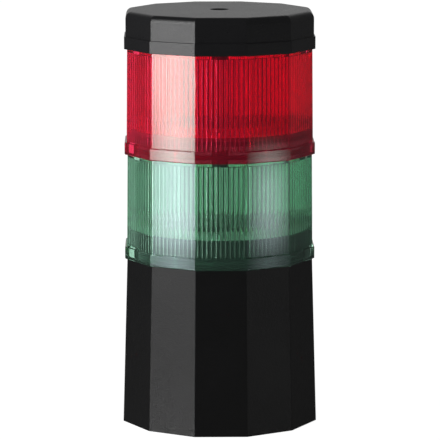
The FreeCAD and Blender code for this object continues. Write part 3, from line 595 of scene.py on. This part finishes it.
# EYE is the camera's place before it is turned. The lens is in millimetres, as cameras are sold.
LENS_LENGTH = 236.1
EYE = (0.28 * MM, -1272 * MM, 301.9 * MM)
TURN = math.radians(0.98)
TILT = math.radians(9.5)
BOUNCES = 24


def backdrop(recipe, where):
    """What shows through the lenses, by bearing in degrees from straight behind towards +X.

    From left to right: a pale wall, a green screen, a bright strip and a dark wall.
    """
    x, y, _ = recipe.parts(where)
    bearing = recipe.math("ARCTAN2", x, y) * math.degrees(1)
    pale_wall = bearing.ramp(-150, -60, 0.15, 1.2)
    screen = (0.03, 0.25, 0.0, 1)
    strip = grey(4.0)
    dark_wall = bearing.ramp(60, 150, 0.03, 0.15)
    colour = recipe.mix(bearing.ramp(-26, -19), pale_wall, screen)
    colour = recipe.mix(bearing.ramp(5, 8), colour, strip)
    return recipe.mix(bearing.ramp(12, 17), colour, dark_wall)


def make_floor():
    """A flat square floor with four corners: x and y are plus and minus its reach.

    It is matt under the lamps, white to the camera but for the shadow, dim and glossy in the
    reflections on the object, and the backdrop through its lenses.
    """
    mesh = bpy.data.meshes.new("floor")
    corners = [(x * FLOOR_REACH, y * FLOOR_REACH, FLOOR_LEVEL)
               for x, y in ((-1, -1), (1, -1), (1, 1), (-1, 1))]
    mesh.from_pydata(corners, [], [(0, 1, 2, 3)])
    floor = bpy.data.objects.new("floor", mesh)
    bpy.context.scene.collection.objects.link(floor)
    recipe = new_material("floor_white")
    matt = recipe.node("ShaderNodeBsdfDiffuse", {}, {"Color": grey(0.8)})
    seen = recipe.node("ShaderNodeEmission", {}, {"Color": grey(1), "Strength": 1.2})
    dim = recipe.node("ShaderNodeEmission", {}, {"Color": grey(1), "Strength": 0.03})
    gloss = recipe.node("ShaderNodeBsdfGlossy", {}, {"Color": grey(1), "Roughness": 0.1})
    mirrored = recipe.blend(0.85, dim, gloss)
    around = backdrop(recipe, recipe.place())
    through = recipe.node("ShaderNodeEmission", {}, {"Color": around, "Strength": 1.0})
    surface = recipe.blend(recipe.ray("Is Glossy Ray"), matt, mirrored)
    surface = recipe.blend(recipe.ray("Is Transmission Ray"), surface, through)
    surface = recipe.blend(recipe.ray("Is Camera Ray") * 0.8, surface, seen)
    mesh.materials.append(recipe.finish(surface))
    mesh.materials[0].cycles.emission_sampling = "NONE"


def make_world():
    """The room: grey as a light, and white to the camera.

    Shiny pieces mirror it dark, but for the wall straight behind. The lenses show the backdrop
    through them, under a pale ceiling.
    """
    world = bpy.data.worlds.new("studio")
    bpy.context.scene.world = world
    recipe = Recipe(world, "ShaderNodeOutputWorld")
    direction = recipe.node("ShaderNodeTexCoord", {}, {}, "Generated")
    x, y, z = recipe.parts(direction)
    mirrored = y.ramp(0.7, 0.97, 0.0, 0.4) + abs(x).ramp(0.5, 0.9, 0.07, 0.1)
    through = recipe.mix(z.ramp(0.2, 0.45), backdrop(recipe, direction), grey(0.9))
    colour = recipe.mix(recipe.ray("Is Glossy Ray"), grey(0.45), mirrored)
    colour = recipe.mix(recipe.ray("Is Transmission Ray"), colour, through)
    colour = recipe.mix(recipe.ray("Is Camera Ray"), colour, grey(1))
    sky = recipe.node("ShaderNodeBackground", {}, {"Color": colour, "Strength": 1.0})
    recipe.finish(sky)
    world.cycles.sampling_method = "NONE"


def softbox(name, bearing, high, width, radiance, edges, foot, top):
    """An upright area lamp facing the middle, brightest along its centre line.

    Bearing is in degrees round from -Y towards +X, and high is the height of its top edge over
    the floor. The rest are shares of its height or of its full light. Edges says how much light
    is left at its upright edges, below its waist and above. Foot says where the light starts to
    rise, where it is full, and how dim it is below. Top says where it starts to die away.
    """
    turn = math.radians(bearing)
    rise_start, rise_end, dim = foot
    data = bpy.data.lights.new(name, "AREA")
    data.shape = "RECTANGLE"
    data.size = width
    data.size_y = high
    data.energy = radiance * math.pi * width * high
    box = bpy.data.objects.new(name, data)
    bpy.context.scene.collection.objects.link(box)
    x, y = SOFTBOX_DISTANCE * math.sin(turn), -SOFTBOX_DISTANCE * math.cos(turn)
    box.location = (x, y, high / 2)
    box.rotation_euler = (math.pi / 2, 0, turn)
    box.visible_camera = False
    recipe = Recipe(data, "ShaderNodeOutputLight")
    across, up, _ = recipe.parts(recipe.node("ShaderNodeNewGeometry", {}, {}, "Parametric"))
    edge = up.ramp(*SOFTBOX_WAIST, *edges)
    level = 1 - (1 - edge) * abs(across - 0.5).ramp(0.0, 0.5)
    level = level * up.ramp(rise_start, rise_end, dim, 1.0) * up.ramp(top, 1.0, 1.0, 0.0)
    recipe.finish(recipe.node("ShaderNodeEmission", {}, {"Color": level, "Strength": 1.0}))


def make_camera():
    """A long lens in front of the object and a little above it, both turned about Z by TURN."""
    data = bpy.data.cameras.new("camera")
    data.lens = LENS_LENGTH
    data.sensor_width = 36
    camera = bpy.data.objects.new("camera", data)
    eye = Vector(EYE)
    eye.rotate(Euler((0, 0, -TURN)))
    camera.location = eye
    camera.rotation_euler = (math.pi / 2 - TILT, 0, -TURN)
    bpy.context.scene.collection.objects.link(camera)
    bpy.context.scene.camera = camera


make_floor()
make_world()
softbox("key", bearing=-56.4, high=0.5, width=0.05, radiance=15.8,
        edges=(0.0, 0.6), foot=(0.05, 0.09, 0.42), top=0.9)
softbox("fill", bearing=58.5, high=0.095, width=0.032, radiance=6.0,
        edges=(0.0, 0.0), foot=(0.26, 0.48, 0.25), top=0.65)
make_camera()

scene = bpy.context.scene
scene.view_settings.view_transform = "Standard"
scene.cycles.max_bounces = BOUNCES
scene.cycles.transmission_bounces = BOUNCES
scene.cycles.transparent_max_bounces = BOUNCES
